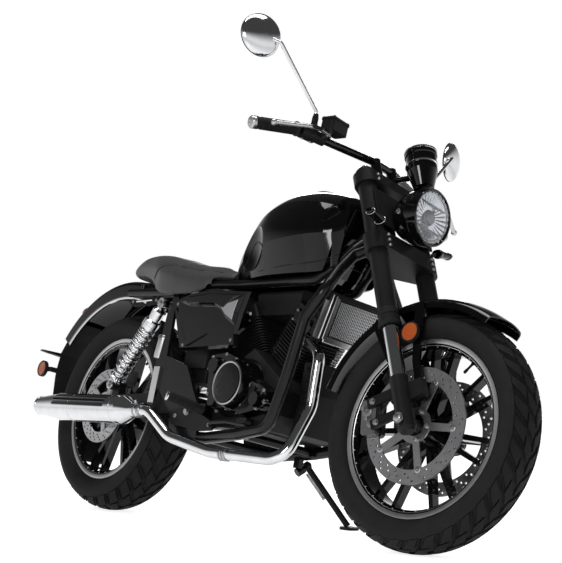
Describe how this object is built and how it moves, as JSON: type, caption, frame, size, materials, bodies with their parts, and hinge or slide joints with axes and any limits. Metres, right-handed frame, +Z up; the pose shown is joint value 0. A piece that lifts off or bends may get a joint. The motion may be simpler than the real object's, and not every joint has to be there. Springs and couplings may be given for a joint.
{
  "type": "motorcycle",
  "caption": "Black cruiser motorcycle with a finned V engine, teardrop tank, low saddle, round headlight and side muffler, leaning on its side stand.",
  "frame": {"origin": "middle of the whole parked machine's bounding box, on the ground", "axes": "+X forward along the machine, +Y to the rider's left, +Z up; the machine leans 12 degrees to the left on its side stand"},
  "size_m": [2.1408, 0.9655, 1.4088],
  "materials": {
    "frame_paint": "gloss black",
    "gloss_black": "gloss black",
    "satin_black": "satin black",
    "engine_black": "satin black",
    "machined": "satin",
    "dark_alloy": "satin",
    "chrome": "polished",
    "steel": "brushed",
    "tyre": "matt",
    "rubber": "matt",
    "seat_cover": "grained black",
    "black_plastic": "matt",
    "lens": "clear",
    "amber": "translucent look",
    "chain_steel": "oiled"
  },
  "bodies": {
    "chassis": {"frame": "frame_paint", "swingarm": "satin_black", "rear_axle_and_pivot": "steel", "rear_shocks": "chrome", "crankcase": "engine_black", "engine_covers": "gloss_black", "front_cylinder": "engine_black", "rear_cylinder": "engine_black", "air_and_battery_boxes": "black_plastic", "radiator": "satin_black", "lower_cover": "black_plastic", "exhaust_header": "chrome", "muffler": "chrome", "fuel_tank": "gloss_black", "fuel_cap": "chrome", "seat": "seat_cover", "side_covers": "gloss_black", "rear_fender": "gloss_black", "tail_mudguard": "black_plastic", "rear_lamps": "amber", "rear_caliper": "dark_alloy", "drive_chain": "chain_steel", "footrests": "satin_black"},
    "steering": {"fork_right": "satin_black", "fork_left": "satin_black", "fork_clamps": "satin_black", "handlebar": "gloss_black", "grips": "rubber", "bar_controls": "satin_black", "headlight_shell": "gloss_black", "headlight_lens": "lens", "gauge": "gloss_black", "mirrors": "chrome", "front_fender": "gloss_black", "front_calipers": "dark_alloy", "front_axle": "steel", "front_signals": "gloss_black", "front_reflectors": "amber"},
    "front_wheel": {"front_tyre": "tyre", "front_rim": "gloss_black", "front_discs": "steel"},
    "rear_wheel": {"rear_tyre": "tyre", "rear_rim": "gloss_black", "rear_disc": "steel", "rear_sprocket": "steel"},
    "side_stand": {"side_stand": "satin_black"}
  },
  "joints": [
    {"name": "steering_turn", "type": "hinge", "parent": "chassis", "child": "steering", "pos_m": [0.51171, -0.10216, 0.74407], "axis": [-0.4213, 0.1884, 0.8871], "range_deg": [-42.8, 27.2]},
    {"name": "front_wheel_spin", "type": "hinge", "parent": "steering", "child": "front_wheel", "pos_m": [0.76509, -0.19117, 0.2994], "axis": [-0.1234, 0.9572, -0.2619], "continuous": true},
    {"name": "rear_wheel_spin", "type": "hinge", "parent": "chassis", "child": "rear_wheel", "pos_m": [-0.61956, -0.19363, 0.31542], "axis": [-0.0003, 0.9781, -0.2079], "continuous": true},
    {"name": "side_stand_fold", "type": "hinge", "parent": "chassis", "child": "side_stand", "pos_m": [0.13624, -0.06014, 0.17756], "axis": [0.1753, 0.8475, 0.501], "range_deg": [0, 110]}
  ]
}
